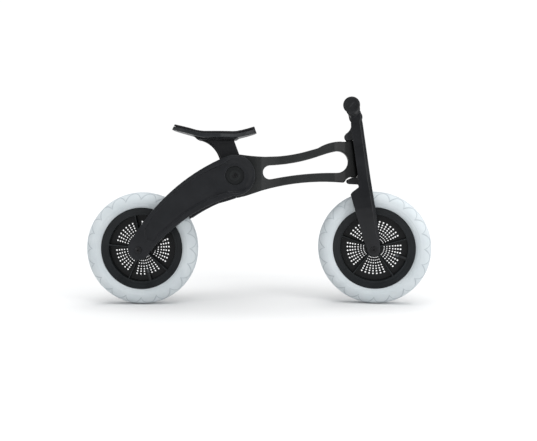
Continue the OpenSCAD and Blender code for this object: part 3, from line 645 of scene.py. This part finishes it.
bar_origin = Vector(bar_mount["pos_m"]) + front_axle_dir * (TUBE_FROM + TUBE_TO) / 2
bar_at = Matrix.Translation(bar_origin) @ turn
for side, name in ((-1, "grip_right"), (1, "grip_left")):
    piece(name + "_body", mesh_of(lathe(grip_outline(side), 72), name + "_mesh", bar_at), "steering",
          grip_black, [name], sharp=40)

# ---------------------------------------------------------------- CAD nodes that stay as they are

KEPT = {
    "head_bushes": bush_dark, "handlebar": satin_tube, "hub_cap_right": cap_grey, "hub_cap_left": cap_grey,
    "rear_spacers": satin_tube, "front_spacers": satin_tube, "rear_bearings": bright_steel,
    "front_bearings": bright_steel, "rear_tube": tube_black, "front_tube": tube_black,
    "rear_valve": tube_black, "front_valve": tube_black, "rear_valve_cap": valve_cap_black,
    "front_valve_cap": valve_cap_black,
}
for n in ("bridge_pins", "seat_screws", "steering_pin", "steering_nut", "bar_screw"):
    KEPT[n] = dark_steel
for n in ("hub_bolt", "hub_nut", "rear_axle", "rear_axle_nut", "front_axle", "front_axle_nut"):
    KEPT[n] = black_steel
for n, material in KEPT.items():
    ob = frame["nodes"][n]
    for s in ob.material_slots:
        s.material = material
    weld = ob.modifiers.new("weld", "WELD")
    weld.merge_threshold = WELD
    bevel = ob.modifiers.new("edges", "BEVEL")
    bevel.width = 0.35 * MM
    bevel.segments = 2
    bevel.limit_method = "ANGLE"
    bevel.angle_limit = math.radians(40)

# ---------------------------------------------------------------- floor, light and camera

floor_mesh = bpy.data.meshes.new("floor_mesh")
REACH = 30.0
corners = [(-REACH, -REACH, 0), (REACH, -REACH, 0), (REACH, REACH, 0), (-REACH, REACH, 0)]
floor_mesh.from_pydata(corners, [], [(0, 1, 2, 3)])
floor = bpy.data.objects.new("floor", floor_mesh)
floor.location.z = cad_box[0].z
bpy.context.scene.collection.objects.link(floor)
pale_floor = moulded("pale_floor", (0.815, 0.815, 0.815), (0.825, 0.825, 0.825), rough=0.8,
                     grain_mm=3, grain=0.05, patch_mm=400, specular=0.1)
# painted shade near the bike: the floor's colour is darker close to the bike and turns paler between these
# distances from it, in metres
PALER_FROM, PALER_TO = 0.45, 1.3
floor_tree = pale_floor.node_tree
distance = node_of(floor_tree, "ShaderNodeVectorMath")
distance.operation = "LENGTH"
floor_tree.links.new(floor_tree.nodes["Texture Coordinate"].outputs["Object"], distance.inputs[0])
away = node_of(floor_tree, "ShaderNodeMapRange", From_Min=PALER_FROM, From_Max=PALER_TO)
floor_tree.links.new(distance.outputs["Value"], away.inputs["Value"])
paler = floor_tree.nodes.new("ShaderNodeMix")
paler.data_type = "RGBA"
paler.inputs["B"].default_value = (0.97, 0.97, 0.97, 1)
floor_tree.links.new(away.outputs["Result"], paler.inputs["Factor"])
floor_tree.links.new(floor_tree.nodes["Color Ramp"].outputs["Color"], paler.inputs["A"])
floor_tree.links.new(paler.outputs["Result"], floor_tree.nodes["Principled BSDF"].inputs["Base Color"])
floor_mesh.materials.append(pale_floor)


def softbox(name, at, aim, size, energy):
    """A soft rectangular light, pointed at a place."""
    data = bpy.data.lights.new(name, "AREA")
    data.shape = "RECTANGLE"
    data.size, data.size_y = size
    data.energy = energy
    ob = bpy.data.objects.new(name, data)
    ob.location = at
    ob.rotation_euler = (Vector(aim) - Vector(at)).to_track_quat("-Z", "Y").to_euler()
    bpy.context.scene.collection.objects.link(ob)


# a wide, even light from overhead that whitens the whole floor and leaves a faint soft shadow
sky = bpy.data.lights.new("overhead", "SUN")
sky.energy = 2.6
sky.angle = math.radians(64)
sky_ob = bpy.data.objects.new("overhead", sky)
sky_ob.rotation_euler = (math.radians(4), math.radians(6), 0)
bpy.context.scene.collection.objects.link(sky_ob)
softbox("right_box", (1.7, -1.5, 0.9), (0.1, 0, 0.25), (0.9, 1.3), 21)
softbox("left_box", (-2.0, -1.0, 0.9), (0, 0, 0.25), (0.9, 1.2), 7)

# the camera sees a white backdrop, and the bike is lit by a much dimmer room
BACKDROP, ROOM = 1.02, 0.33
world = bpy.data.worlds.new("studio")
bpy.context.scene.world = world
world.use_nodes = True
wt = world.node_tree
backdrop = wt.nodes["Background"]
backdrop.inputs["Color"].default_value = (1, 1, 1, 1)
backdrop.inputs["Strength"].default_value = BACKDROP
room = wt.nodes.new("ShaderNodeBackground")
room.inputs["Color"].default_value = (0.95, 0.98, 1.0, 1)
room.inputs["Strength"].default_value = ROOM
seen = wt.nodes.new("ShaderNodeLightPath")
either = wt.nodes.new("ShaderNodeMixShader")
wt.links.new(seen.outputs["Is Camera Ray"], either.inputs["Fac"])
wt.links.new(room.outputs["Background"], either.inputs[1])
wt.links.new(backdrop.outputs["Background"], either.inputs[2])
wt.links.new(either.outputs["Shader"], wt.nodes["World Output"].inputs["Surface"])

FOCAL_PX, WIDTH_PX = 600, 537
CAMERA_AT = (0.0401, -1.6195, 0.3281)
CAMERA_TURN = (90, 0.2, 0.39)
CAMERA_SHIFT = -0.0728
camera = bpy.data.cameras.new("camera")
camera.sensor_width = 36
camera.lens = camera.sensor_width * FOCAL_PX / WIDTH_PX
camera.shift_y = CAMERA_SHIFT
camera.clip_end = 200
eye = bpy.data.objects.new("camera", camera)
eye.location = CAMERA_AT
eye.rotation_euler = [math.radians(a) for a in CAMERA_TURN]
bpy.context.scene.collection.objects.link(eye)
bpy.context.scene.camera = eye
bpy.context.scene.view_settings.view_transform = "Standard"
bpy.context.scene.view_settings.look = "None"
